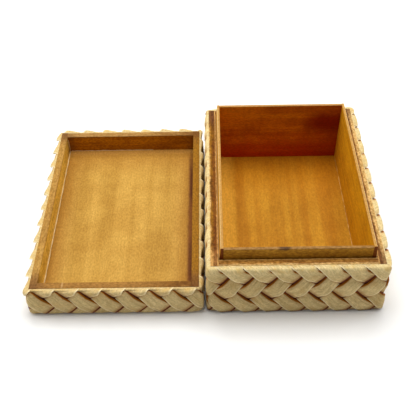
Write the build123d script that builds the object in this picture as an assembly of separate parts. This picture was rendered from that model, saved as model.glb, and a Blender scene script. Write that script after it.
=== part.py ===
from build123d import *
import os
from math import ceil, floor, pi, sqrt

# A ditty box: a wooden tray with a raised inner liner, and a lid that drops over the liner.
# Both are covered outside with a plaited mat of flat strands.
# The base stands on its underside, whose centre is the origin. The lid lies upside down beside
# it on the same table, and turns over about a line between the two to close the box.
# Millimetres. X runs across the box, Y runs from front to back, Z is up.

# ---- Boards of the base ----
casing_width = 150.0        # over the side boards, and the same on the lid
casing_depth = 213.0        # over the front and back boards, and the same on the lid
base_height = 60.0          # rim of the base above the table
base_board = 7.0            # thickness of the base's boards
base_panel = 3.4            # thickness of the bottom panel under them
rim_ease = 0.5              # rounding along the edges of every rim

# ---- Liner that stands inside the base ----
liner_side_board = 3.4      # thickness of the left and right liner boards
liner_end_board = 3.0       # thickness of the front and back liner boards
liner_gap = 0.9             # running space between liner and base boards
lip_height = 13.0           # how far the liner rises above the rim
front_lip_height = 11.5     # the front liner board is a little lower
lip_taper = 0.9             # how much the side boards thin towards their top, for the lid

# ---- Boards of the lid ----
lid_board = 6.6             # thickness of the lid's boards
lid_board_height = 20.0     # depth of the recess inside them
lid_panel = 8.0             # thickness of the panel that closes the lid
aside_gap = 2.4             # space between the two mats while the lid lies beside the base
seat_gap = 0.3              # space left between the two rims when the box is closed

# ---- Plaited mats ----
mat_thickness = 4.0         # two crossed strands, at the crown of their bulge
mat_corner_radius = 6.0     # how the mat rounds the upright corners
mat_rim_radius = 3.5        # how it rounds over at the rims
mat_foot_chamfer = 2.5      # how it slopes in at the foot of the base
lid_edge_radius = 5.0       # how it rounds over from the lid's sides to its top
rim_drop = 0.3              # the mat's edge lies this much below the wooden rim
foot_clearance = 0.5        # and this much above the table on the base
strand_width = 14.7         # flat width of one strand
groove_width = 1.0          # valley between neighbouring strands
groove_depth = 1.4          # depth of that valley

# Where the plait starts on each front face: the lowest corner of a strand in the row below the
# rim, measured from the middle of the face and from the table
base_plait_across = 18.7
base_plait_height = 39.2
lid_plait_across = 19.4
lid_plait_height = 23.1

# ---- Sizes that follow ----
half_width = casing_width / 2
half_depth = casing_depth / 2
mat_half_width = half_width + mat_thickness
mat_half_depth = half_depth + mat_thickness
lid_height = mat_thickness + lid_panel + lid_board_height
lid_offset = -(2 * mat_half_width + aside_gap)

# A round corner is a shorter way than a sharp one, for strands that run round it.
arc_saving = 2 - pi / 2
side_to_side = mat_half_width + mat_half_depth - arc_saving * mat_corner_radius
mat_girth = 4 * side_to_side
plaits_round = round(mat_girth / (strand_width * sqrt(2)))
plait_pitch = mat_girth / plaits_round
groove_length = 1.5 * sqrt(2) * plait_pitch


def save(piece, name):
    """Write one piece to its own STEP file, labelled with its name."""
    piece.label = name
    export_step(piece, f"parts/{name}.step")


def box_between(low, high):
    """A box from its lowest corner to its highest corner."""
    size = [b - a for a, b in zip(low, high)]
    middle = [(a + b) / 2 for a, b in zip(low, high)]
    return Pos(*middle) * Box(*size)


def ease_rim(board, run):
    """Round the two long top edges of a board that runs along the axis given."""
    return fillet(board.edges().filter_by(run).group_by(Axis.Z)[-1], rim_ease)


def board_frame(outer_x, outer_y, side_board, end_board, foot, rim):
    """Four boards: those at the sides run the full depth, those at the ends fit between them."""
    inner_x = outer_x - side_board
    inner_y = outer_y - end_board
    return {
        "left": ease_rim(box_between((-outer_x, -outer_y, foot), (-inner_x, outer_y, rim)), Axis.Y),
        "right": ease_rim(box_between((inner_x, -outer_y, foot), (outer_x, outer_y, rim)), Axis.Y),
        "front": ease_rim(box_between((-inner_x, -outer_y, foot), (inner_x, -inner_y, rim)), Axis.X),
        "back": ease_rim(box_between((-inner_x, inner_y, foot), (inner_x, outer_y, rim)), Axis.X),
    }


# ---- Base: bottom panel and four casing boards that stand on it ----
def base_boards():
    pieces = {}
    pieces["base_bottom_panel"] = box_between(
        (-half_width, -half_depth, 0), (half_width, half_depth, base_panel)
    )
    casing = board_frame(half_width, half_depth, base_board, base_board, base_panel, base_height)
    for side, board in casing.items():
        pieces[f"base_{side}_board"] = board
    return pieces


# ---- Liner: four thinner boards that stand on the bottom panel and rise above the rim ----
def tapered_side_board(outer_x, outer_y):
    """The right liner board: upright inside, and leaning in outside above the rim."""
    inner_x = outer_x - liner_side_board
    top = base_height + lip_height
    section = Plane.XZ * Polygon(
        (inner_x, base_panel),
        (outer_x, base_panel),
        (outer_x, base_height),
        (outer_x - lip_taper, top),
        (inner_x, top),
        align=None,
    )
    return ease_rim(extrude(section, outer_y, both=True), Axis.Y)


def liner_boards():
    outer_x = half_width - base_board - liner_gap
    outer_y = half_depth - base_board - liner_gap
    inner_x = outer_x - liner_side_board
    inner_y = outer_y - liner_end_board
    top = base_height + lip_height
    front_top = base_height + front_lip_height
    right = tapered_side_board(outer_x, outer_y)
    front = box_between((-inner_x, -outer_y, base_panel), (inner_x, -inner_y, front_top))
    back = box_between((-inner_x, inner_y, base_panel), (inner_x, outer_y, top))
    return {
        "liner_left_board": mirror(right, Plane.YZ),
        "liner_right_board": right,
        "liner_front_board": ease_rim(front, Axis.X),
        "liner_back_board": ease_rim(back, Axis.X),
    }


# ---- Lid: top panel, lying on the mat, and four boards that stand on it ----
def lid_boards():
    panel_top = mat_thickness + lid_panel
    pieces = {}
    pieces["lid_top_panel"] = box_between(
        (-half_width, -half_depth, mat_thickness), (half_width, half_depth, panel_top)
    )
    rim_frame = board_frame(half_width, half_depth, lid_board, lid_board, panel_top, lid_height)
    for side, board in rim_frame.items():
        pieces[f"lid_{side}_board"] = board
    return pieces


# ---- Plait: valleys between the strands, on one flat face ----
def plait_valleys(face, reach, low, high, across, height, leans_right):
    """Slots along the long edges of the strands, within reach each way of the face's middle.

    Each strand shows as a block twice as long as wide, at 45 degrees. Blocks that lean the same
    way lie side by side in a row, and the next row leans the other way. The row that starts at
    the height given leans right, or else left.
    """
    slot = Box(groove_length, groove_width, 2 * groove_depth)
    rise = 1.5 * plait_pitch
    first_row = ceil((low - height - rise) / plait_pitch)
    last_row = floor((high - height) / plait_pitch)
    slots = []
    for row in range(first_row, last_row + 1):
        lean = 1 if (row % 2 == 0) == leans_right else -1
        start = height + row * plait_pitch
        first = ceil((-reach - rise - across) / plait_pitch)
        last = floor((reach + rise - across) / plait_pitch)
        for column in range(first, last + 1):
            corner = across + column * plait_pitch
            middle = Pos(corner + lean * rise / 2, start + rise / 2, 0)
            slots.append(face * middle * Rot(0, 0, 45 * lean) * slot)
    return slots


# ---- Mats: one for the base and one for the lid, each in panels that meet at the corners ----
sides_in_turn = ["front", "right", "back", "left"]


def mat_block(foot, rim):
    """The outside of a mat as a solid block, with its upright corners and its rim rounded."""
    outline = RectangleRounded(2 * mat_half_width, 2 * mat_half_depth, mat_corner_radius)
    block = Pos(0, 0, foot) * extrude(outline, rim - foot)
    return fillet(block.edges().group_by(Axis.Z)[-1], mat_rim_radius)


def foot_edges(block):
    """The edges all round the foot of a block."""
    return block.edges().group_by(Axis.Z)[0]


def corner_point(turn, outward):
    """A point on the mitre line where one side starts, this far out from the wooden corner."""
    across = half_width + outward
    along = half_depth + outward
    return [(-across, -along), (across, -along), (across, along), (-across, along)][turn % 4]


def side_wedge(turn, foot, rim):
    """The room of one side's mat, cut off at 45 degrees at both corners."""
    plan = Polygon(
        corner_point(turn, 2 * mat_thickness),
        corner_point(turn + 1, 2 * mat_thickness),
        corner_point(turn + 1, -mat_thickness),
        corner_point(turn, -mat_thickness),
        align=None,
    )
    return Pos(0, 0, foot) * extrude(plan, rim - foot, dir=(0, 0, 1))


def side_mats(block, name, foot, rim, across, height, leans_right):
    """The four side panels of a mat, with the plait running on from one to the next."""
    wood = box_between((-half_width, -half_depth, foot), (half_width, half_depth, rim))
    sleeve = block - wood
    pieces = {}
    for turn, side in enumerate(sides_in_turn):
        is_end = turn % 2 == 0
        outward = mat_half_depth if is_end else mat_half_width
        reach = mat_half_width if is_end else mat_half_depth
        face = Rot(0, 0, 90 * turn) * Pos(0, -outward, 0) * Rot(90, 0, 0)
        start = across - turn * side_to_side
        valleys = plait_valleys(face, reach, foot, rim, start, height, leans_right)
        panel = sleeve & side_wedge(turn, foot, rim)
        pieces[f"{name}_{side}"] = panel - valleys
    return pieces


def base_mat():
    rim = base_height - rim_drop
    block = mat_block(foot_clearance, rim)
    block = chamfer(foot_edges(block), mat_foot_chamfer)
    return side_mats(
        block, "base_mat", foot_clearance, rim, base_plait_across, base_plait_height, False
    )


def lid_mat():
    rim = lid_height - rim_drop
    block = mat_block(0, rim)
    block = fillet(foot_edges(block), lid_edge_radius)
    pieces = side_mats(
        block, "lid_mat", mat_thickness, rim, lid_plait_across, lid_plait_height, True
    )
    # The plait of the front runs on round the edge and over the lid's flat top.
    top_face = Rot(180, 0, 0)
    start = mat_half_depth - arc_saving * lid_edge_radius + lid_plait_height
    valleys = plait_valleys(
        top_face, mat_half_width, -mat_half_depth, mat_half_depth, lid_plait_across, start, True
    )
    slab = box_between(
        (-mat_half_width, -mat_half_depth, 0), (mat_half_width, mat_half_depth, mat_thickness)
    )
    pieces["lid_mat_top"] = (block & slab) - valleys
    return pieces


# ---- Write every piece ----
os.makedirs("parts", exist_ok=True)
for piece_name, piece in {**base_boards(), **liner_boards(), **base_mat()}.items():
    save(piece, piece_name)
for piece_name, piece in {**lid_boards(), **lid_mat()}.items():
    save(Pos(lid_offset, 0, 0) * piece, piece_name)

turn_x = lid_offset / 2
turn_z = (base_height + seat_gap + lid_height) / 2
print(f"lid turns over about Y at x = {turn_x:.3f}, z = {turn_z:.3f}")
print(f"plait pitch {plait_pitch:.3f}, {plaits_round} round the box")
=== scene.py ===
# %% [markdown]
# # A ditty box, dressed in Blender
#
# The base stands right way up with a thin liner rising inside it. The lid lies upside down
# beside it. Both are stained wood inside and wear a mat of plaited strands outside. The boards
# are exact solids already, so this lesson gives them their finish and builds the plait, which
# is too soft for a solid.

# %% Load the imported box
import random
from math import cos, pi, radians, sin, sqrt
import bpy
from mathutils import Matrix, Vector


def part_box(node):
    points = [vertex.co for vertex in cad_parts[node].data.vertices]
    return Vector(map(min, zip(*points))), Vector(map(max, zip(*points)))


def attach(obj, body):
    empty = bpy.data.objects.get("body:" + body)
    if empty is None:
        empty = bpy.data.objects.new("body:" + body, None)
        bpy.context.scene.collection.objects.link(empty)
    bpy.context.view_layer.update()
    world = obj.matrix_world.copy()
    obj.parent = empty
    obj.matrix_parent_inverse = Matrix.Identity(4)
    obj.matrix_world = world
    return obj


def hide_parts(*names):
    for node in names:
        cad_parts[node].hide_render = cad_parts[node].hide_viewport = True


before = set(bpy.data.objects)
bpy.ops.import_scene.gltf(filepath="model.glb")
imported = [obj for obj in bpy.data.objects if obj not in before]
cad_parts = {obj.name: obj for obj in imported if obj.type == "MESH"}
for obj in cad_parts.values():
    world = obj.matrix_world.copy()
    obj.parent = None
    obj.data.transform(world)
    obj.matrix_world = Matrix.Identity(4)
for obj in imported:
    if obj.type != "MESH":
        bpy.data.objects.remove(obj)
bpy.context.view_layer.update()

from types import SimpleNamespace

import bmesh
import bpy
from mathutils import Matrix, Vector

mm = 0.001

# %% [markdown]
# ## Floor
#
# The box stands on a pale sheet, as in a small light tent. A wide one keeps the horizon out of
# sight and throws soft light back up at the plait.

# %% Lay the floor
def mesh_of(name, shape):
    """A mesh made from a bmesh, which is freed."""
    data = bpy.data.meshes.new(name)
    shape.to_mesh(data)
    shape.free()
    return data


def add_object(name, data):
    """Put an object into the scene."""
    made = bpy.data.objects.new(name, data)
    bpy.context.collection.objects.link(made)
    return made


sheet = bmesh.new()
bmesh.ops.create_grid(sheet, x_segments=1, y_segments=1, size=6)
floor = add_object("floor", mesh_of("floor", sheet))
print("floor is", round(floor.dimensions.x, 1), "m wide")

# %% [markdown]
# ## Light
#
# A light tent lights from above and both sides, and hardly from the camera's side. That leaves
# the rims bright and the fronts of the plait in soft shade. Large lamps keep every shadow soft.

# %% Set up three soft lamps and a dim room
def area_lamp(name, place, target, size, power):
    """A square soft lamp that looks at a target. Metres and watts."""
    lamp = bpy.data.lights.new(name, "AREA")
    lamp.size = size
    lamp.energy = power
    holder = add_object(name, lamp)
    holder.location = place
    holder.rotation_euler = (Vector(target) - Vector(place)).to_track_quat("-Z", "Y").to_euler()


between_parts = (-0.08, 0, 0.02)
area_lamp("lamp_above", (-0.08, 0.45, 1.5), between_parts, 1.3, 29)
area_lamp("lamp_left", (-1.5, 0.25, 0.8), between_parts, 1.2, 13)
area_lamp("lamp_right", (1.35, 0.25, 0.8), between_parts, 1.2, 9.5)

room = bpy.data.worlds.new("room")
bpy.context.scene.world = room
room.use_nodes = True
background = room.node_tree.nodes["Background"]
background.inputs["Color"].default_value = (1, 0.98, 0.95, 1)
background.inputs["Strength"].default_value = 0.25
bpy.context.scene.view_settings.view_transform = "Standard"

# %% [markdown]
# ## Camera
#
# The camera stands in front of the gap between lid and base and looks down at about 46 degrees.
# It is aimed by a heading, a pitch and a small roll.

# %% Place the camera
camera_place = Vector((-73.4, -479.9, 514.8)) * mm
heading = radians(0.41)
pitch_down = radians(45.81)
roll = radians(-1.10)

turned = Matrix.Rotation(heading, 3, "Z") @ Matrix.Rotation(pi / 2 - pitch_down, 3, "X")
turned = turned @ Matrix.Rotation(roll, 3, "Z")
camera_data = bpy.data.cameras.new("camera")
camera_data.sensor_width = 36
camera_data.lens = 59.8
camera = add_object("camera", camera_data)
camera.matrix_world = Matrix.Translation(camera_place) @ turned.to_4x4()
bpy.context.scene.camera = camera
print("camera", [round(x, 3) for x in camera.location], "lens", camera_data.lens)

# %% [markdown]
# ## Small tools for finishes
#
# A finish is a network of shader nodes. Short helpers add and join them, so that a finish reads
# as a recipe. Lengths in a finish are millimetres.

# %% Add a node and fill its sockets
def fill(node, values):
    """Link a node's sockets to other nodes, or give them plain values."""
    for name, value in values.items():
        socket = node.inputs[name]
        if isinstance(value, bpy.types.NodeSocket):
            socket.id_data.links.new(value, socket)
        else:
            socket.default_value = value


def add_node(tree, kind, inputs=None, **settings):
    """Add one node, set its options, then fill its sockets by name or number."""
    node = tree.nodes.new(kind)
    for name, value in settings.items():
        setattr(node, name, value)
    fill(node, inputs or {})
    return node


def tree_of(*values):
    """The node tree of the first socket among some values."""
    return next(value.id_data for value in values if isinstance(value, bpy.types.NodeSocket))


# %% [markdown]
# Most steps blend two colours by a share. Soft random patches make clouds and freckles, and
# stretched along one direction they make streaks and fibres.

# %% Blend, measure and scatter
def mix(share, first, second, way="MIX"):
    """Blend two colours by a share from 0 to 1."""
    tree = tree_of(share, first, second)
    inputs = {0: share, 6: first, 7: second}
    return add_node(tree, "ShaderNodeMix", inputs, data_type="RGBA", blend_type=way).outputs[2]


def tint(colour, tone):
    """A colour multiplied by a tone."""
    return mix(1, colour, tone, "MULTIPLY")


def maths(operation, first, second):
    """One sum on two values."""
    tree = tree_of(first, second)
    inputs = {0: first, 1: second}
    return add_node(tree, "ShaderNodeMath", inputs, operation=operation).outputs[0]


def times(first, second):
    return maths("MULTIPLY", first, second)


def rise(value, start, end):
    """0 at start and 1 at end, with a smooth change between them."""
    inputs = {"Value": value, "From Min": start, "From Max": end}
    settings = {"interpolation_type": "SMOOTHSTEP"}
    return add_node(value.id_data, "ShaderNodeMapRange", inputs, **settings).outputs["Result"]


def clouds(place, size, stretch=(1, 1, 1), seed=0, detail=3, roughness=0.5):
    """Soft random values from 0 to 1, in patches of a size in mm, longer along some axis."""
    scale = [1 / (size * s) for s in stretch]
    shift = (seed * 7.3, seed * 3.1, seed * 5.7)
    inputs = {"Vector": place, "Scale": scale, "Location": shift}
    moved = add_node(place.id_data, "ShaderNodeMapping", inputs).outputs[0]
    inputs = {"Vector": moved, "Scale": 1, "Detail": detail, "Roughness": roughness}
    return add_node(place.id_data, "ShaderNodeTexNoise", inputs).outputs["Fac"]


def split(place):
    """The x, y and z of a place."""
    return add_node(place.id_data, "ShaderNodeSeparateXYZ", {"Vector": place}).outputs


# %% [markdown]
# Colours are chosen as they look on screen and turned into light values. The plainest finish is
# two tones that run into each other.

# %% Start a finish
def paint(red, green, blue):
    """A colour given as it looks on screen, from 0 to 255, turned into light values."""
    def linear(value):
        value /= 255
        return value / 12.92 if value <= 0.04045 else ((value + 0.055) / 1.055) ** 2.4

    return (linear(red), linear(green), linear(blue), 1)


def new_finish(name):
    """A material, its surface shader and its coordinates in millimetres."""
    material = bpy.data.materials.new(name)
    material.use_nodes = True
    tree = material.node_tree
    shader = tree.nodes["Principled BSDF"]
    coordinates = add_node(tree, "ShaderNodeTexCoord").outputs["Object"]
    inputs = {0: coordinates, "Scale": 1 / mm}
    scaled = add_node(tree, "ShaderNodeVectorMath", inputs, operation="SCALE")
    return material, shader, scaled.outputs[0]


def set_surface(shader, colour, roughness, specular):
    fill(shader, {"Base Color": colour, "Roughness": roughness, "Specular IOR Level": specular})


def emboss(shader, height, strength, depth):
    """Let a height catch the light, as a relief of some depth in millimetres."""
    inputs = {"Height": height, "Strength": strength, "Distance": depth * mm}
    bump = add_node(shader.id_data, "ShaderNodeBump", inputs)
    fill(shader, {"Normal": bump.outputs[0]})


def mottled(name, size, seed, tones, roughness, specular=0.5, detail=3, edges=None):
    """A plain finish in two tones. With edges, the tones meet more sharply."""
    material, shader, place = new_finish(name)
    share = clouds(place, size, seed=seed, detail=detail)
    if edges:
        share = rise(share, *edges)
    set_surface(shader, mix(share, *tones), roughness, specular)
    return material


print("middle grey on screen is", round(paint(128, 128, 128)[0], 3), "of full light")

# %% [markdown]
# The floor is matt off-white paper, in two tones so close that they hardly show.

# %% Finish the floor
paper_tones = ((0.86, 0.86, 0.85, 1), (0.90, 0.90, 0.89, 1))
floor.data.materials.append(mottled("floor_paper", 300, 0, paper_tones, 0.9, detail=2))
print("floor wears", floor.data.materials[0].name)

# %% [markdown]
# ## Stained wood
#
# The boards are a light softwood, stained golden brown and thinly varnished. Long fibres, short
# dark pores and specks of stain run along its grain. All three are soft patches, stretched by
# different amounts.

# %% The fine grain of wood
def longer_along(grain, amount):
    """A stretch for clouds that follow the grain."""
    return [amount if axis == grain else 1 for axis in "xyz"]


def fine_grain(place, grain, seed, speckle):
    """Fibres and pores as shares, and the tone that fibres and specks give together."""
    fibres = clouds(place, 0.8, longer_along(grain, 22), seed + 2, detail=4, roughness=0.6)
    pores = clouds(place, 0.45, longer_along(grain, 7), seed + 6, detail=1)
    specks = clouds(place, 1.5, longer_along(grain, 1.8), seed + 8)
    fibre_tone = mix(fibres, (0.80, 0.78, 0.74, 1), (1.20, 1.20, 1.20, 1))
    contrast = [0.18 * speckle, 0.20 * speckle, 0.27 * speckle]
    pale, dark = [(*(1 + sign * part for part in contrast), 1) for sign in (1, -1)]
    speck_tone = mix(rise(specks, 0.3, 0.7), pale, dark)
    return fibres, rise(pores, 0.66, 0.74), tint(fibre_tone, speck_tone)


# %% [markdown]
# A stain has a place and a soft edge that wanders. It is written as ramps along x, y, z, or the
# distance from a middle line, so that one line of numbers puts it on a rim, in a corner or along
# a joint.

# %% Stains at a place
def wood_places(place, middle_x):
    """Each coordinate on its own, and without its sign, from the middle of the box part."""
    x, y, z = split(place)
    x = maths("SUBTRACT", x, middle_x)
    wide, deep = (maths("ABSOLUTE", axis, 0) for axis in (x, y))
    return {"x": x, "y": y, "z": z, "wide": wide, "deep": deep}


def stain_share(place, places, ramps, share, wobble, seed):
    """How much of a stain shows: its share, where all its ramps have risen."""
    wander = times(maths("SUBTRACT", clouds(place, 9, seed=seed), 0.5), wobble)
    for coordinate, start, end in ramps:
        edge = maths("ADD", places[coordinate], wander)
        share = times(rise(edge, start, end), share)
    return share


# %% [markdown]
# One recipe makes every board: broad streaks and cloudy patches, then fine grain, pores and
# stains, and last a thin varnish that follows the fibres.

# %% Recipe for stained wood
def stained_wood(name, grain, tones, stains, middle_x=0, seed=1, streaks=0.6, mottle=0.5,
                 band=6, patch=26, speckle=1):
    """Streaked, cloudy, finely pored wood under a thin varnish.

    grain is the axis of the streaks, band and patch are the widths of streaks and clouds. A
    stain is (ramps, colour, share, wobble), and a ramp is (coordinate, start, end): the stain
    grows from nothing at start to its full share at end.
    """
    material, shader, place = new_finish(name)
    fibres, pores, grain_tone = fine_grain(place, grain, seed, speckle)
    bands = clouds(place, band, longer_along(grain, 22), seed)
    cloudy = clouds(place, patch, seed=seed + 4, detail=4, roughness=0.6)

    light, dark = (paint(*tone) for tone in tones)
    colour = mix(times(rise(bands, 0.36, 0.64), streaks), light, dark)
    deeper = tint(colour, (0.70, 0.60, 0.42, 1))
    colour = mix(times(rise(cloudy, 0.36, 0.68), mottle), colour, deeper)
    colour = tint(colour, grain_tone)
    in_pores = tint(colour, (0.5, 0.4, 0.3, 1))
    colour = mix(times(pores, 0.45), colour, in_pores)
    places = wood_places(place, middle_x)
    for index, (ramps, stain, share, wobble) in enumerate(stains):
        share = stain_share(place, places, ramps, share, wobble, seed + 10 + index)
        colour = mix(share, colour, tint(grain_tone, paint(*stain)))

    gloss = mix(cloudy, (0.5, 0.5, 0.5, 1), (0.7, 0.7, 0.7, 1))
    set_surface(shader, colour, gloss, 0.1)
    emboss(shader, maths("ADD", times(fibres, 0.6), times(pores, -0.8)), 0.35, 0.15)
    return material


# %% [markdown]
# ## The boards, one by one
#
# Stains follow the edges of the boards, so those are measured first: widths from the middle of
# each part, heights from the table.

# %% Measure the boards
base_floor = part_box("base_bottom_panel")[1].z / mm
base_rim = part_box("base_left_board")[1].z / mm
liner_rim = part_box("liner_back_board")[1].z / mm
front_liner_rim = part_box("liner_front_board")[1].z / mm
lid_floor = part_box("lid_top_panel")[1].z / mm
lid_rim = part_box("lid_left_board")[1].z / mm
half_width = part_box("base_right_board")[1].x / mm
half_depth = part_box("base_back_board")[1].y / mm
base_board = half_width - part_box("base_right_board")[0].x / mm
liner_half_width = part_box("liner_right_board")[1].x / mm
liner_half_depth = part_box("liner_back_board")[1].y / mm
lid_low, lid_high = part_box("lid_top_panel")
lid_middle = (lid_low.x + lid_high.x) / 2 / mm
print("rims at", round(base_rim, 1), round(lid_rim, 1), round(liner_rim, 1), "mm")

# %% [markdown]
# ### Rims of the base
#
# The rims are mottled brown, and purple-brown near the corners, where the stain soaked into end
# grain. Pale glue and dust are smeared along the mat. The inner edge is paler, partly rubbed and
# partly a painted highlight where the rounded edge meets the light.

# %% Finish the rims of the base
board_grain = {"left": "y", "right": "y", "front": "x", "back": "x"}
purple_brown = (92, 54, 28)


def corner_patch(side):
    """The soaked patches at both ends of a rim."""
    if side in ("front", "back"):
        return [("wide", half_width - 22, half_width)], purple_brown, 0.6, 12
    return [("deep", half_depth - 26, half_depth)], purple_brown, 0.75, 14


# Light and dark tone, and width of the pale smear
base_rims = {
    "left": ((146, 100, 14), (106, 64, 2), 1.6),
    "right": ((140, 92, 30), (112, 68, 22), 4.2),
    "front": ((178, 128, 56), (128, 82, 32), 2.6),
    "back": ((150, 102, 40), (112, 70, 28), 1.7),
}
board_finishes = {}
for count, side in enumerate(board_grain):
    light, dark, smear = base_rims[side]
    across, outer = ("deep", half_depth) if side in ("front", "back") else ("wide", half_width)
    inner = outer - base_board
    stains = [
        ([(across, outer - smear, outer - smear + 1.8)], (206, 168, 104), 0.8, 3),
        corner_patch(side),
        # pale inner edge: partly rubbed, partly a painted highlight on the rounded edge
        ([(across, inner + 1.7, inner + 0.7)], (196, 150, 84), 0.8, 1.0),
    ]
    if side == "left":
        # Soaked only at the back, paler at the front as painted light on that strongly lit end, and
        # dark along its middle
        stains[1] = ([("y", half_depth - 40, half_depth - 8)], purple_brown, 0.75, 14)
        middle = [("x", -outer + 2.2, -outer + 3.6), ("x", -inner - 0.9, -inner - 1.5)]
        stains += [
            ([("y", -half_depth + 25, -half_depth + 10)], (190, 142, 78), 0.75, 6),
            ([*middle, ("y", 80, 45)], (100, 50, 2), 0.7, 1),
        ]
    board_finishes[f"base_{side}_board"] = stained_wood(
        f"base_rim_wood_{side}", board_grain[side], (light, dark), stains, seed=count,
        streaks=0.9, mottle=0.9, band=3, patch=12, speckle=2.0,
    )
print("finished", sorted(board_finishes))

# %% [markdown]
# ### Boards of the lid
#
# The lid's boards are golden inside on the left. At the back they are painted deep brown inside,
# as painted shade on that shaded face. Their rims have a tone of their own, darker to the right,
# partly as painted shade, and a faint rubbed line crosses the front one.

# %% Finish the boards of the lid
# Light and dark tone of the inner face, and tone of the rim
lid_boards = {
    "left": ((232, 188, 80), (198, 152, 50), (146, 104, 52)),
    # the right rim's darker tone is partly painted shade
    "right": ((166, 112, 28), (140, 92, 18), (138, 94, 12)),
    "front": ((172, 124, 44), (140, 92, 26), (142, 100, 46)),
    # the back board's deep brown inside is painted shade
    "back": ((184, 116, 10), (152, 88, 5), (152, 118, 66)),
}
rim_top = ("z", lid_rim - 1.2, lid_rim - 0.3)
lid_marks = {
    "front": [
        ([rim_top, ("x", -47.2, -46.4), ("x", -44.8, -45.6)], (200, 164, 112), 0.35, 1),
        ([rim_top, ("x", 14, 66)], (103, 60, 2), 0.8, 6),
    ],
    "back": [([rim_top, ("x", 12, 44)], (108, 64, 8), 0.6, 6)],
}
for count, side in enumerate(board_grain):
    light, dark, rim_tone = lid_boards[side]
    stains = [([rim_top], rim_tone, 0.8, 0), corner_patch(side), *lid_marks.get(side, [])]
    board_finishes[f"lid_{side}_board"] = stained_wood(
        f"lid_rim_wood_{side}", board_grain[side], (light, dark), stains,
        middle_x=lid_middle, seed=count + 5, mottle=0.7, band=4, patch=16, speckle=1.3,
    )
print("lid rim at", round(lid_rim, 1), "mm wears its own tone")

# %% [markdown]
# ### The two floors
#
# The bottom of the base is golden with long streaks and deeper at the back. Along the left wall
# it is painted paler, as painted light. The lid is lighter and cloudier, and darker along its
# walls. A purple-brown line and dark patches along its right wall are painted shadow of that
# wall, and a paler strip just before the back wall is painted light.

# %% Finish the two floors
board_finishes["base_bottom_panel"] = stained_wood(
    "base_floor_wood", "y", ((188, 134, 31), (165, 106, 12)),
    [
        ([("y", 10, 95)], (184, 112, 4), 0.6, 10),
        ([("y", 62, 100)], (140, 80, 0), 0.4, 22),
        ([("y", -70, -92)], (206, 152, 56), 0.4, 14),
        # painted light: paler along the left wall
        ([("x", -44, -60)], (222, 164, 54), 0.8, 8),
    ],
    seed=11, streaks=0.85, mottle=0.35, band=15, patch=30, speckle=0.6,
)
by_right_wall = ("x", half_width - 11.5, half_width - 9)
board_finishes["lid_top_panel"] = stained_wood(
    "lid_floor_wood", "y", ((193, 150, 68), (171, 128, 49)),
    [
        ([("x", -half_width + 30, -half_width + 8)], (152, 104, 34), 0.7, 12),
        ([("x", half_width - 32, half_width - 8)], (154, 106, 36), 0.75, 10),
        # painted shadow of the right wall: a purple-brown line and two dark patches
        ([("x", half_width - 13, half_width - 9.5)], (112, 58, 22), 0.8, 2.5),
        ([by_right_wall, ("y", 5, 35)], (78, 40, 16), 0.8, 2),
        ([by_right_wall, ("y", -25, -50)], (84, 44, 18), 0.6, 2),
        ([("y", half_depth - 52, half_depth - 7)], (156, 106, 34), 0.7, 18),
        # painted light: a paler strip just before the back wall
        ([("y", half_depth - 17, half_depth - 9)], (206, 150, 74), 0.5, 4),
        ([("y", -half_depth + 26, -half_depth + 7)], (168, 116, 44), 0.5, 8),
    ],
    middle_x=lid_middle, seed=12, band=12, patch=34, speckle=0.7,
)
print("floors at", round(base_floor, 1), "and", round(lid_floor, 1), "mm")

# %% [markdown]
# ### The liner
#
# The liner is thin warm board with a pale worn top edge. Inside, its back board is painted deep
# red towards the floor and darker to the right, with a darker patch at the right, as painted shade
# in the deep box. From behind it is plain brown. Its front is olive-brown, with a dark mark on its
# rim and dark end grain at both ends.

# %% Finish the liner
liner_middle = base_floor + (liner_rim - base_floor) / 2


def liner_stains(side):
    top = front_liner_rim if side == "front" else liner_rim
    worn_top = ("z", top - 0.5, top - 0.25)
    worn_rim = ([worn_top], (176, 134, 74), 0.85, 0.2)
    if side == "front":
        mark = [("z", top - 2.2, top - 0.6), ("x", -19, -14), ("x", -5, -10)]
        return [([worn_top], (140, 104, 58), 0.85, 0.2), (mark, (66, 42, 26), 0.8, 5)]
    if side == "back":
        dark_patch = [("x", 18, 44), ("z", 30, 46), ("z", 68, 56)]
        outside = ("y", liner_half_depth - 1.8, liner_half_depth - 1.2)
        return [
            # painted shade inside the box: deep red towards the floor, darker to the right, and a
            # darker patch
            ([("z", liner_middle + 10, base_floor)], (176, 48, 4), 0.9, 14),
            ([("x", 5, -45), ("z", 40, 58)], (206, 118, 10), 0.6, 12),
            ([("x", 5, half_width - 10)], (132, 28, 4), 0.5, 16),
            (dark_patch, (122, 12, 2), 0.75, 12),
            ([outside], (162, 112, 34), 0.9, 0),
            worn_rim,
        ]
    edge = liner_half_width - 1.4
    end_grain = ("deep", liner_half_depth - 0.3, liner_half_depth - 0.1)
    return [
        worn_rim,
        ([("z", top - 1.6, top - 0.9), ("wide", edge, edge + 0.3)], (214, 188, 138), 0.8, 0.3),
        ([end_grain], (100, 36, 10), 0.9, 0),
    ]


liner_tones = {
    "left": ((208, 148, 20), (186, 124, 14)),
    "right": ((208, 148, 20), (186, 124, 14)),
    "front": ((176, 124, 34), (150, 102, 24)),
    "back": ((214, 130, 12), (184, 96, 8)),
}
unevenness = {"front": {"speckle": 1.4}, "back": {"streaks": 0.85, "mottle": 0.9}}
for count, side in enumerate(board_grain):
    board_finishes[f"liner_{side}_board"] = stained_wood(
        f"liner_wood_{side}", board_grain[side], liner_tones[side], liner_stains(side),
        seed=count + 14, **{"speckle": 0.8, **unevenness.get(side, {})},
    )
print("liner stands", round(liner_rim - base_rim, 1), "mm above the rim")

# %% [markdown]
# A solid's mesh stays as it is, so each finish is linked to the object instead.

# %% Put every finish on its board
for name, material in board_finishes.items():
    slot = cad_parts[name].material_slots[0]
    slot.link = "OBJECT"
    slot.material = material
print("finished", len(board_finishes), "boards")

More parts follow.
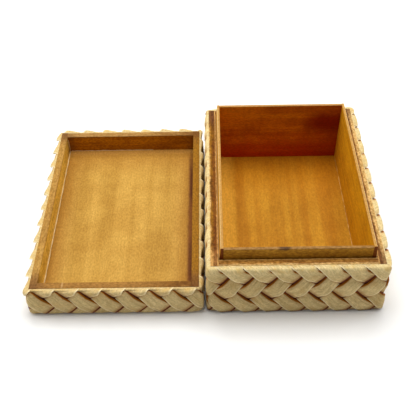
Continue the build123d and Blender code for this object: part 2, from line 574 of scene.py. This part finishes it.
# %% [markdown]
# ## How the plait works
#
# Flat strands cross at 45 degrees. Each passes over two others and then under two, so it shows
# as a block twice as long as wide, sinking at both ends. Blocks that lean the same way lie side
# by side in a row, and the next row leans the other way. A bump on a flat wall would leave the
# edges of the box smooth, so each block is a closed slab, bent into place.
#
# The plait is laid out flat first: u runs round the box from the middle of the front, v up from
# the table and h out from the wood. Then it is wrapped round the wood.

# %% Measure the mat
mat_thickness = (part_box("base_mat_right")[1].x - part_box("base_right_board")[1].x) / mm
corner_radius = 4.2       # how the strands round the upright corners
blocks_round = 36
corner_inset = corner_radius - mat_thickness
straight_x = half_width - corner_inset
straight_y = half_depth - corner_inset
corner_run = pi / 2 * corner_radius
girth = 4 * (straight_x + straight_y + corner_run)
pitch = girth / blocks_round
strand_width = pitch / sqrt(2)
print(f"girth {girth:.1f} mm, strand {strand_width:.2f} mm wide, {blocks_round} blocks round")

# %% [markdown]
# ## One block of strand
#
# A slab starts as a flat grid, drawn up to a thickness. Cuts run along its top, for rounded
# edges and a crown in the middle. Its underside never shows.

# %% The flat slab that every block starts from
def thicken(sheet, thickness):
    """Draw a flat sheet up into a closed slab."""
    drawn = bmesh.ops.extrude_face_region(sheet, geom=sheet.faces[:], use_keep_orig=True)
    raised = [v for v in drawn["geom"] if isinstance(v, bmesh.types.BMVert)]
    bmesh.ops.translate(sheet, verts=raised, vec=(0, 0, thickness))


def make_slab(cells_along):
    """A closed slab from 0 to 1 each way, its top cut lengthwise into four strips."""
    slab = bmesh.new()
    bmesh.ops.create_grid(slab, x_segments=cells_along, y_segments=1, size=0.5)
    bmesh.ops.translate(slab, verts=slab.verts, vec=(0.5, 0.5, 0))
    thicken(slab, 1)
    across = [e for e in slab.edges if all(v.co.z > 0.5 for v in e.verts)
              and abs(e.verts[0].co.y - e.verts[1].co.y) > 0.5]
    bmesh.ops.subdivide_edges(slab, edges=across, cuts=3, use_grid_fill=True)
    bmesh.ops.recalc_face_normals(slab, faces=slab.faces)
    return mesh_of("slab", slab)


slab_mesh = make_slab(8)
print("a slab has", len(slab_mesh.polygons), "faces")

# %% [markdown]
# A strand lies at full height over the crossing strands. Towards both ends it sinks, and runs
# on under the strand that covers it, so that no end is bare.

# %% Height of a strand along its length
crown_bulge = 0.9         # how far the crowns swell past the mat's measured thickness
crown = mat_thickness + crown_bulge
end_drop = 3.0            # how much lower it lies where it meets the one that covers it
sink_reach = 0.85         # how far from that end it starts to sink, in strand widths
hidden_share = 0.34       # how far it runs on under its neighbour, in strand widths
hidden_drop = 1.2         # how much further down it goes there


def smooth(share):
    share = min(max(share, 0), 1)
    return share * share * (3 - 2 * share)


def strand_top(length, dives):
    """Height of the top at a distance along the block. dives is for the lower and upper end."""
    to_end = min(length, 2 - length)
    dive = dives[0] if length < 1 else dives[1]
    share = min(max(to_end / sink_reach, 0), 1)
    drop = end_drop * (1 - (smooth(share) + share) / 2)
    return crown - dive * (drop + hidden_drop * max(-to_end, 0) / hidden_share)


print("a strand dives from", round(strand_top(1, (1, 1)), 1), "to", round(strand_top(0, (1, 1)), 1))

# %% [markdown]
# A strip of leaf is not straight. Its lower edge swells, its upper one draws away from its
# neighbour and leaves a gap, and the whole strip tips so that its upper edge tucks in.

# %% Give the slab its shape
strand_thickness = 1.9
edge_round = 0.4          # width of the rounded edge
edge_fall = 0.35          # how far that edge turns down
side_fall = 0.25          # how much lower the sides lie than the middle
edge_bow = 1.5            # how far the lower long edge swells
bow_length = 1.3          # over how many strand widths, from the lower end
low_gap = 0.15            # bare space kept along the lower long edge
high_gap = 0.3            # and along the upper one
gape = 0.6                # and how much wider the upper gap opens where the plait gapes
gape_start, gape_run = 0.55, 0.5        # where along the strand it starts, and over how much
visible_width = strand_width - low_gap - high_gap
tip_line = 0.35           # the share of the width about which a strand tips
fibre_shift = 40.0        # how far apart the fibres of two strands lie in the finish, at most


def shape_block(block, variety, habit):
    """Give the slab its real shape, and note where each point lies on it."""
    spot = block.verts.layers.float_vector.new("strand")
    # how much of the painted shade at the edges is left off
    clean = block.verts.layers.float.new("clean")
    upper = block.verts.layers.float.new("upper")
    low_hidden, high_hidden = habit.hidden
    strips = [0, edge_round, visible_width / 2, visible_width - edge_round, visible_width]
    for vert in block.verts:
        on_top = vert.co.z > 0.5
        length = -low_hidden + vert.co.x * (2 + low_hidden + high_hidden)
        across = strips[round(vert.co.y * 4)]
        share = across / visible_width
        side = abs(2 * share - 1)
        height = strand_top(length, habit.dives) + variety.height - habit.sunk
        height += habit.tilt * (tip_line - share)
        if on_top:
            height -= side_fall * side ** 2 + (edge_fall if side > 0.99 else 0)
        else:
            height = max(height - strand_thickness, 0.1)
        vert[clean] = habit.clean
        vert[upper] = 1 if on_top else 0
        vert[spot] = (length * strand_width, across, variety.number * fibre_shift)
        bow = edge_bow * sin(pi * min(max(length / bow_length, 0), 1))
        opening = habit.gape * gape * smooth((length - gape_start) / gape_run)
        spread = low_gap + across - bow * (1 - share) - opening * share
        vert.co = (length * strand_width, spread, height)


print("each strand shows", round(visible_width, 1), "mm of its width")

# %% [markdown]
# ## Lay the blocks out flat
#
# No real plait is quite even. Each block gets a small turn, a small shift and its own tone, from
# a seeded generator so that the mat is the same every time. Rows have habits too: where the mat
# ends, blocks dive less and lie flatter.

# %% Variety and habits
dice = random.Random(5)


def new_variety():
    return SimpleNamespace(
        turn=radians(dice.uniform(-1.6, 1.6)),
        shift=(dice.uniform(-0.4, 0.4), dice.uniform(-0.35, 0.35)),
        height=dice.uniform(-0.3, 0.05),
        number=dice.random(),
        tone=dice.random(),
    )


# unshaded leaves out the painted shade at a strand's edges
plain_habit = SimpleNamespace(
    sunk=0, gape=0.8, dives=(1, 1), tilt=1.0, clean=0, hidden=(hidden_share, hidden_share)
)


def row_habit(**changes):
    """The plain habit with changes."""
    return SimpleNamespace(**{**vars(plain_habit), **changes})


bare_low_end = (0.03, hidden_share)      # nothing covers the lower end of these blocks
print("habits of a plain row:", plain_habit)

# %% [markdown]
# Blocks are cut where they bend and trimmed where the mat ends. There the hole is closed again
# straight away.

# %% Cut a block, and place one in the flat plait
right, left, up, down = (Vector(way) for way in ((1, 0, 0), (-1, 0, 0), (0, 1, 0), (0, -1, 0)))


def cut_block(block, distance, way, drop=False):
    """Cut at a plane across a way. With drop, what lies past it goes and the hole is closed."""
    if not block.faces:
        return
    everything = block.verts[:] + block.edges[:] + block.faces[:]
    cut = bmesh.ops.bisect_plane(block, geom=everything, plane_co=distance * way, plane_no=way,
                                 dist=1e-5, clear_outer=drop)
    if drop and block.faces:
        rim = [e for e in cut["geom_cut"] if isinstance(e, bmesh.types.BMEdge)]
        bmesh.ops.holes_fill(block, edges=rim, sides=0)


def flat_block(corner_u, corner_v, lean, habit, slip=0, level_row=0):
    """One flat block, leaning right (1) or left (-1). Below the level row it slips sideways."""
    variety = new_variety()
    block = bmesh.new()
    block.from_mesh(slab_mesh)
    shape_block(block, variety, habit)
    tone = block.verts.layers.float.new("tone")
    centre = Vector((strand_width, strand_width / 2, 0))
    twist = Matrix.Rotation(variety.turn, 3, "Z")
    for vert in block.verts:
        vert[tone] = variety.tone
        point = twist @ (vert.co - centre) + centre
        u = lean * (point.x - point.y) / sqrt(2) + corner_u + variety.shift[0]
        v = (point.x + point.y) / sqrt(2) + corner_v + variety.shift[1]
        vert.co = (u - slip * (v - level_row), v, point.z)
    return block


# %% [markdown]
# ## The two sleeves
#
# Base and lid each wear a sleeve of plait. Rows are counted downwards: row -1 folds over the rim,
# and row 0 is the first whole one. On the base the rows slip sideways as they go down. At the
# rim the strands are pressed flat, and the mat stands off where it is less tight.

# %% Describe both sleeves
sleeves = {
    "base": SimpleNamespace(
        middle_x=0, foot=0.1, foot_radius=1.2, rim=base_rim - 0.3, rim_radius=4.6,
        rows=range(-1, 4), first_row=38.4, first_across=17.4, first_lean=-1, slip=0.135,
        # Of the front, right, back and left side
        press_after=(0.6, 3.4, 0.6, 1.7), press_span=2.6, swell=(1.3, 1.9, 2.0, 0),
        habits={
            2: row_habit(dives=(0.3, 1), hidden=bare_low_end),
            3: row_habit(sunk=0.7, gape=0, dives=(1, 0.3), tilt=0.3, clean=0.6),
        },
    ),
    "lid": SimpleNamespace(
        middle_x=lid_middle, foot=0.0, foot_radius=2.6, rim=lid_rim - 0.3, rim_radius=2.4,
        rows=range(-1, 3), first_row=22.0, first_across=19.4, first_lean=1, slip=0,
        press_after=(1.5, 1.5, 1.5, 1.5), press_span=1.9, swell=(1.4, 0, 2.2, 1.4),
        habits={
            0: row_habit(tilt=1.2, gape=0.4),
            1: row_habit(dives=(0.3, 1.05), hidden=bare_low_end, gape=0.35),
            2: row_habit(sunk=0.5, gape=0, dives=(1, 0.3), tilt=0.3, clean=0.5),
        },
    ),
}
for name, sleeve in sleeves.items():
    sleeve.fold_up = sleeve.rim - sleeve.rim_radius
    sleeve.fold_down = sleeve.foot + sleeve.foot_radius
    sleeve.top_edge = sleeve.fold_up + (pi / 2 - 1) * sleeve.rim_radius + mat_thickness
    sleeve.low_edge = sleeve.fold_down - pi / 2 * sleeve.foot_radius
    print(name, "plait runs from", round(sleeve.low_edge, 1), "to", round(sleeve.top_edge, 1))

# %% [markdown]
# On a straight side, u is a distance along it, and at an upright corner it turns into an angle.
# A full side comes down to a flatter one before they meet, so that the corner shows no step.

# %% Find the way round the box
swell_blend = 12          # distance over which a fuller side comes down to a flatter one
straights = [2 * straight_x, 2 * straight_y] * 2


def walk_round(u):
    """The side that u leads to from the front's left end, how far along it, and its length."""
    u %= girth
    for turn, straight in enumerate(straights):
        if u <= straight + corner_run:
            return turn, u, straight
        u -= straight + corner_run
    return 0, 0, straights[0]


def side_of(u):
    """The side that a place is on, and how far it is from that side's two corners."""
    turn, along, straight = walk_round(u + straight_x + corner_run / 2)
    return turn, (along, straight + corner_run - along)


def swell_at(u, swell):
    """How far the mat stands off at a place round the box."""
    turn, distances = side_of(u)
    amount = swell[turn]
    for step, distance in zip((-1, 1), distances):
        drop = max(amount - swell[(turn + step) % 4], 0)
        amount -= drop * (1 - smooth(distance / swell_blend))
    return amount


def round_box(u, out):
    """Plan position at u round the box and a distance out from the wood."""
    turn, along, straight = walk_round(u + straight_x)
    start = Vector([(-straight_x, -straight_y), (straight_x, -straight_y),
                    (straight_x, straight_y), (-straight_x, straight_y)][turn])
    angle = turn * pi / 2
    run = Vector((cos(angle), sin(angle)))
    angle += max(along - straight, 0) / corner_radius
    outward = Vector((sin(angle), -cos(angle)))
    return start + run * min(along, straight) + outward * (corner_inset + out)


print("9 mm past the front's end is side", side_of(straight_x + 9)[0])

# %% [markdown]
# ## Wrap the plait round the wood
#
# On the flat sides the pattern keeps its size. At the rim and the foot it folds inwards until it
# meets the wood, and gives up its bulge and its swell, so that it ends level with the rim.

# %% Fold and wrap
def fold_over(past, height, radius, bulge):
    """Distance out from the wood, and height gained, this far past the start of a fold."""
    turn = min(past / radius, pi / 2)
    height -= bulge * smooth(turn / (pi / 2))
    centre = mat_thickness - radius
    out = centre + (height - centre) * cos(turn) - (past - turn * radius)
    return out, (height - centre) * sin(turn)


def wrap(point, sleeve):
    """Move a point of the flat plait to its place on the box, in metres."""
    u, v, height = point
    swell = swell_at(u, sleeve.swell)
    height += swell
    out, z = height, v
    bulge = crown_bulge + swell
    if v > sleeve.fold_up:
        out, gain = fold_over(v - sleeve.fold_up, height, sleeve.rim_radius, bulge)
        z = sleeve.fold_up + gain
    elif v < sleeve.fold_down:
        out, gain = fold_over(sleeve.fold_down - v, height, sleeve.foot_radius, bulge)
        z = sleeve.fold_down - gain
    plan = round_box(u, out)
    return Vector((plan.x + sleeve.middle_x, plan.y, max(z, 0))) * mm


# %% [markdown]
# A flat face cannot follow a bend, so blocks that reach one are cut there first, in even steps.

# %% Cut along lines before bending
bend_steps = 4


def bend_lines(sleeve):
    """Every line at which a block is bent: places round the box, and heights."""
    steps = [step / bend_steps for step in range(bend_steps + 1)]
    rounds = []
    for turn in range(-1, 5):
        start = straight_x + turn * girth / 4 + (straight_y - straight_x) * (turn % 2)
        rounds += [start + corner_run * step for step in steps]
    reach_up = pi / 2 * sleeve.rim_radius
    reach_down = pi / 2 * sleeve.foot_radius
    heights = [sleeve.fold_up + reach_up * step for step in steps]
    heights += [sleeve.fold_down - reach_down * step for step in steps[:-1]]
    return rounds, heights


def cut_at_lines(block, rounds, heights):
    """Cut a flat block at every line that crosses it."""
    for axis, way, lines in ((0, right, rounds), (1, up, heights)):
        reach = [vert.co[axis] for vert in block.verts]
        for line in lines:
            if min(reach) < line < max(reach):
                cut_block(block, line, way)


print("lines to bend at:", [len(lines) for lines in bend_lines(sleeves["base"])])

# %% [markdown]
# ## Finish of the strands
#
# The strands are dried leaf: straw-coloured and matt, with fine fibres and faint freckles. Near the
# rim of the base they are painted paler, as painted light on the fold that faces the lamp above.
# The finish reads each point's place on its strand, so the fibres follow the plait round every
# bend.

# %% Colour of dried leaf
def stored(tree, name):
    """What the blocks keep at each of their points under a name."""
    return add_node(tree, "ShaderNodeAttribute", attribute_name=name).outputs


def leaf_colour(place, strand, height, rim, fade_from, rim_paint):
    """Straw with fibres and blotches, and the fibres on their own for the relief."""
    tone = stored(place.id_data, "tone")["Fac"]
    fibres = clouds(strand, 0.95, (12, 1, 1), 1, detail=4, roughness=0.62)
    broad = rise(clouds(strand, 3.0, (5, 1, 1), 2, detail=2), 0.4, 0.7)
    grains = rise(clouds(strand, 1.3, (1.6, 1, 1), 7, detail=2), 0.3, 0.7)
    blotches = rise(clouds(place, 11, seed=3), 0.5, 0.72)
    freckles = rise(clouds(strand, 0.8, (2, 1, 1), 4, detail=1), 0.70, 0.78)
    near_rim = rise(height, rim - fade_from, rim - 2)
    rim_blotches = times(rise(clouds(place, 4.5, seed=12, detail=2), 0.50, 0.64),
                         rise(height, rim - 7, rim - 2))
    rim_specks = times(rise(clouds(place, 1.6, seed=6, detail=2), 0.60, 0.68),
                       rise(height, rim - 1.6, rim - 0.2))

    straw = mix(tone, paint(213, 190, 138), paint(197, 173, 120))
    straw = mix(times(broad, 0.5), straw, paint(176, 148, 92))
    # near the rim the straw turns to rim_paint, paler on the base as painted light on the fold
    straw = mix(times(near_rim, 0.85), straw, paint(*rim_paint))
    straw = tint(straw, mix(fibres, (0.60, 0.58, 0.50, 1), (1.34, 1.34, 1.34, 1)))
    straw = tint(straw, mix(grains, (0.86, 0.84, 0.80, 1), (1.11, 1.11, 1.12, 1)))
    for patches, share, colour in (
        (blotches, 0.35, (190, 150, 84)),
        (rim_blotches, 0.4, (212, 174, 92)),
        (freckles, 0.3, (140, 92, 44)),
        (rim_specks, 0.5, (164, 108, 50)),
    ):
        straw = mix(times(patches, share), straw, paint(*colour))
    return straw, fibres


# %% [markdown]
# Where a strand dives, a dark red-brown line of painted shade runs out softly. The upper long
# edge gets painted shade too, and the lower one a painted highlight. Strands pressed flat get no
# painted shade.

# %% Dye and dust at the edges
def painted_edge_shade(strand):
    """Shares of painted shade and painted highlight along the edges of a strand."""
    shade_weight = maths("SUBTRACT", 1, times(stored(strand.id_data, "clean")["Fac"], 0.9))
    along, across, _ = split(strand)
    from_low = maths("SUBTRACT", along, clouds(strand, 5, seed=8))
    from_high = maths("SUBTRACT", 2 * strand_width - 1.6, from_low)
    shade = maths("MAXIMUM", rise(from_low, 5, 0), times(rise(from_high, 4, 0), 0.7))
    upper_edge = maths("MAXIMUM", rise(across, visible_width - 1.0, visible_width - 0.3),
                       times(rise(across, visible_width - 3.0, visible_width), 0.4))
    shade = maths("MAXIMUM", times(times(shade, 0.65), shade_weight), times(upper_edge, shade_weight))
    # dark painted shade where the strand dives
    dive_shade = maths("MAXIMUM", rise(from_low, 1.3, 0.2), times(rise(from_high, 1.2, -0.2), 0.95))
    lit_edge = times(rise(across, 1.8, 0.3), 0.5)
    return shade, times(dive_shade, shade_weight), lit_edge


# %% [markdown]
# The lid fades from further down. The foot of the base is painted darker brown.

# %% Recipe for dried leaf
def dried_leaf(name, rim, fade_from, rim_paint, foot_darkening):
    material, shader, place = new_finish(name)
    strand = stored(shader.id_data, "strand")["Vector"]
    height = split(place)["Z"]
    straw, fibres = leaf_colour(place, strand, height, rim, fade_from, rim_paint)
    shade, dive_shade, lit_edge = painted_edge_shade(strand)
    # the base's foot is darker brown
    darker_foot = times(rise(height, 4.2, 0.8), foot_darkening)
    # painted highlight on the lower long edge, painted shade at the ends and along the upper edge
    for share, colour in (
        (lit_edge, (238, 224, 182)),
        (shade, (148, 84, 4)),
        (dive_shade, (92, 32, 0)),
        (darker_foot, (96, 60, 22)),
    ):
        straw = mix(share, straw, paint(*colour))
    set_surface(shader, straw, 0.7, 0.12)
    fill(shader, {"Sheen Weight": 0.05})
    emboss(shader, fibres, 0.5, 0.3)
    return material


leaf = {
    "base": dried_leaf("base_dried_leaf", sleeves["base"].rim, 10, (222, 201, 148), 0.8),
    "lid": dried_leaf("lid_dried_leaf", sleeves["lid"].rim, 15, (206, 182, 130), 0),
}
print("leaf finishes:", sorted(leaf))

# %% [markdown]
# ## Weave the sides
#
# Every block is laid out flat, trimmed at the rim and the foot, cut at the bends and wrapped. At
# the rim the strands are pressed down to one level, and their gaps close.

# %% Press, trim and wrap a block
press_depth = 0.1         # how far below the crowns the pressed strands lie
end_depth = 0.1           # and how much lower still their hidden ends lie
gap_closing = 0.75        # the share of the gap that pressing closes
press_steps = 3


def press_rim(block, sleeve, lean, under, press_from):
    """Press a flat block to one level near the rim, and close the gap above it."""
    clean = block.verts.layers.float["clean"]
    upper = block.verts.layers.float["upper"]
    spot = block.verts.layers.float_vector["strand"]
    closing = gap_closing * (high_gap + gape)
    for vert in block.verts:
        pressed = smooth((vert.co.y - press_from) / sleeve.press_span)
        along = vert[spot].x
        past_end = smooth(-along / 2) + smooth(along / 2 - strand_width)
        level = crown - press_depth - under - end_depth * past_end
        level -= 0 if vert[upper] > 0.5 else strand_thickness
        vert.co.z += (level - vert.co.z) * pressed
        # pressed strands get no painted shade
        vert[clean] = max(vert[clean], pressed)
        widen = closing * pressed * vert[spot].y / strand_width / sqrt(2)
        vert.co += Vector((-lean * widen, widen, 0))


def trim_and_wrap(block, sleeve, lean, under, turn):
    """Trim a flat block, cut it at the bends, press its rim and wrap it."""
    rounds, heights = bend_lines(sleeve)
    press_from = sleeve.fold_up + sleeve.press_after[turn]
    heights += [press_from + sleeve.press_span * step / press_steps
                for step in range(press_steps + 1)]
    cut_block(block, sleeve.top_edge, up, drop=True)
    cut_block(block, -sleeve.low_edge, down, drop=True)
    if not block.faces:
        return
    cut_at_lines(block, rounds, heights)
    press_rim(block, sleeve, lean, under, press_from)
    for vert in block.verts:
        vert.co = wrap(vert.co, sleeve)


# %% [markdown]
# Blocks are gathered into one piece for each side, which rides on its half of the box and hides
# the plain solid it stands for.

# %% Gather blocks into a piece
def add_block(piece, block):
    """Add what is left of a block to its piece."""
    if not block.faces:
        block.free()
        return
    bmesh.ops.recalc_face_normals(block, faces=block.faces)
    carrier = mesh_of("block", block)
    piece.from_mesh(carrier)
    bpy.data.meshes.remove(carrier)


def finish_piece(shape, name, body, material):
    """A smooth object that rides on its body."""
    piece = add_object(name, mesh_of(name, shape))
    piece.data.shade_smooth()
    piece.data.materials.append(material)
    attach(piece, body)
    print(name, len(piece.data.polygons), "faces")
    return piece


def finish_plait(shape, name, body, material, replaced):
    """A crisp-edged piece of the mat, in place of plain solids."""
    piece = finish_piece(shape, name, body, material)
    piece.data.set_sharp_from_angle(angle=radians(62))
    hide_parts(*replaced)


# %% [markdown]
# Now the weaving itself. A block across a corner goes with the side where most of it shows.

# %% Weave the four sides of each sleeve
side_names = ["front", "right", "back", "left"]
layer_step = 0.12         # how much deeper every second row lies where it is pressed
layer_scatter = 0.06      # and how much that varies from block to block

for body, sleeve in sleeves.items():
    sides = [bmesh.new() for name in side_names]
    for row in sleeve.rows:
        lean = sleeve.first_lean * (1 if row % 2 == 0 else -1)
        habit = sleeve.habits.get(row, plain_habit)
        corner_v = sleeve.first_row - row * pitch
        for column in range(blocks_round):
            corner_u = sleeve.first_across + column * pitch
            block = flat_block(corner_u, corner_v, lean, habit, sleeve.slip, sleeve.first_row)
            under = layer_step * (row % 2) + layer_scatter * dice.random()
            turn, _ = side_of(corner_u + lean * pitch / 4)
            trim_and_wrap(block, sleeve, lean, under, turn)
            add_block(sides[turn], block)
    for shape, name in zip(sides, side_names):
        finish_plait(shape, f"{body}_plait_{name}", body, leaf[body], [f"{body}_mat_{name}"])

# %% [markdown]
# ## Weave the top of the lid
#
# The plait of the front runs on over the lid's top, which is underneath while the box is open.
# It is trimmed to the flat of the top and turned face down.

# %% Weave the top
top_sleeve = sleeves["lid"]
edge_radius = top_sleeve.foot_radius
flat_x = half_width + mat_thickness - edge_radius
flat_y = half_depth + mat_thickness - edge_radius
arc_saving = 2 - pi / 2   # a round edge is a shorter way than a sharp one
top_start = half_depth + mat_thickness - arc_saving * edge_radius + top_sleeve.first_row
top_habit = row_habit(gape=0.3)
top_rows, top_columns = range(13), range(-6, 6)      # enough to cover the flat of the top

top_plait = bmesh.new()
for row in top_rows:
    lean = 1 if row % 2 == 0 else -1
    for column in top_columns:
        corner_u = top_sleeve.first_across + column * pitch
        block = flat_block(corner_u, top_start - row * pitch, lean, top_habit)
        for distance, way in ((flat_x, right), (flat_x, left), (flat_y, up), (flat_y, down)):
            cut_block(block, distance, way, drop=True)
        for vert in block.verts:
            u, v, height = vert.co
            vert.co = Vector((u + lid_middle, -v, max(crown - height, 0))) * mm
        add_block(top_plait, block)
finish_plait(top_plait, "lid_plait_top", "lid", leaf["lid"], ["lid_mat_top"])

# %% [markdown]
# ## The under-layer
#
# Other strands run underneath, in deep shade. A thin closed sleeve stands for them: a grid with
# a thickness, wrapped like the blocks and joined at its ends. Its dark red-brown is painted shade.

# %% Wrap a thin dark sleeve under each plait
# painted shade: the strands underneath are painted dark red-brown
under_shade_tones = (paint(76, 22, 0), paint(116, 54, 6))
under_strand_shade = mottled("under_strand_shade", 2.5, 3, under_shade_tones, 0.8, specular=0.1)
under_height = 0.15       # how far the sleeve lies off the wood
under_thickness = 0.45


def under_layer(body, sleeve):
    rounds, heights = bend_lines(sleeve)
    sheet = bmesh.new()
    bmesh.ops.create_grid(sheet, x_segments=1, y_segments=1, size=0.5)
    low, high = sleeve.low_edge + 0.05, sleeve.top_edge - 0.4
    for vert in sheet.verts:
        vert.co = (vert.co.x * girth, low + (vert.co.y + 0.5) * (high - low), under_height)
    thicken(sheet, under_thickness)
    cut_at_lines(sheet, [place for line in rounds for place in (line, line - girth)], heights)
    ends = [f for f in sheet.faces if abs(f.normal.x) > 0.9]
    bmesh.ops.delete(sheet, geom=ends, context="FACES_ONLY")
    for vert in sheet.verts:
        vert.co = wrap(vert.co, sleeve)
    bmesh.ops.remove_doubles(sheet, verts=sheet.verts, dist=0.01 * mm)
    bmesh.ops.recalc_face_normals(sheet, faces=sheet.faces)
    replaced = [f"{body}_mat_{name}" for name in side_names]
    finish_plait(sheet, f"{body}_under_layer", body, under_strand_shade, replaced)


for body, sleeve in sleeves.items():
    under_layer(body, sleeve)

# %% [markdown]
# ## Glue at the joints
#
# A little glue was squeezed out along some inner joints and dried as a thin bead. Each one is a
# six-sided rod, cut into short lengths that are pushed about, so that it swells and thins.

# %% Shape a bead of dried glue
def glue_bead(name, body, start, end, radius, glue, steps=28):
    """A thin uneven bead from start to end, in millimetres."""
    start, end = Vector(start), Vector(end)
    length = (end - start).length
    bead = bmesh.new()
    bmesh.ops.create_cone(
        bead, cap_ends=True, segments=6, radius1=radius, radius2=radius, depth=length
    )
    for step in range(1, steps):
        cut_block(bead, (step / steps - 0.5) * length, Vector((0, 0, 1)))
    rings = {}
    turn = (end - start).to_track_quat("Z", "Y").to_matrix()
    for vert in bead.verts:
        ring = round(vert.co.z, 3)
        if ring not in rings:
            rings[ring] = [dice.uniform(*span) for span in ((0.55, 1.15), *[(-0.12, 0.12)] * 2)]
        size, side_x, side_y = rings[ring]
        vert.co = (vert.co.x * size + side_x, vert.co.y * size + side_y, vert.co.z)
        vert.co = ((start + end) / 2 + turn @ vert.co) * mm
    bmesh.ops.recalc_face_normals(bead, faces=bead.faces)
    finish_piece(bead, name, body, glue)


# %% [markdown]
# The glue is pale in the lid, brown with dust beside the liner, and amber on the base's floor.

# %% Lay the beads
pale_glue = mottled("dried_glue", 3, 9, (paint(196, 158, 96), paint(226, 198, 148)), 0.5)
faded_glue = mottled("faded_glue", 3, 9, (paint(146, 102, 50), paint(190, 152, 96)), 0.5)
amber_tones = (paint(176, 120, 30), paint(214, 172, 96))
amber_glue = mottled("amber_glue", 6, 9, amber_tones, 0.5, edges=(0.4, 0.6))

front_low, front_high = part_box("lid_front_board")
left_wall = lid_middle - (front_high.x - front_low.x) / mm / 2
front_wall = front_high.y / mm
back_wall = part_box("lid_back_board")[0].y / mm
glue_bead("lid_glue_left", "lid", (left_wall + 0.2, front_wall + 0.5, lid_floor + 0.2),
          (left_wall + 0.2, back_wall - 0.5, lid_floor + 0.2), 0.75, pale_glue)
glue_bead("lid_glue_back", "lid", (left_wall + 1.5, back_wall - 0.1, lid_floor + 0.1),
          (left_wall + 92, back_wall - 0.1, lid_floor + 0.1), 0.5, pale_glue)
glue_bead("lid_glue_corner", "lid", (left_wall + 0.1, back_wall - 0.1, lid_floor + 0.5),
          (left_wall + 0.1, back_wall - 0.1, lid_rim - 4), 0.6, pale_glue, steps=8)

for name, side in (("left", -1), ("right", 1)):
    gap_x = side * (liner_half_width + half_width - base_board) / 2
    ends = [(gap_x, y, base_rim - 0.55) for y in (-liner_half_depth, liner_half_depth)]
    glue_bead(f"base_glue_rim_{name}", "base", *ends, 0.55, faded_glue)
right_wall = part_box("liner_front_board")[1].x / mm - 0.1
front_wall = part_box("liner_front_board")[1].y / mm + 1
back_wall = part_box("liner_back_board")[0].y / mm - 1
ends = [(right_wall, y, base_floor + 0.1) for y in (front_wall, back_wall)]
glue_bead("base_glue_right", "base", *ends, 0.45, amber_glue)

# %% [markdown] The visual model stays inside the box of the solids, apart from about 3 mm where
# soft strands stand proud.
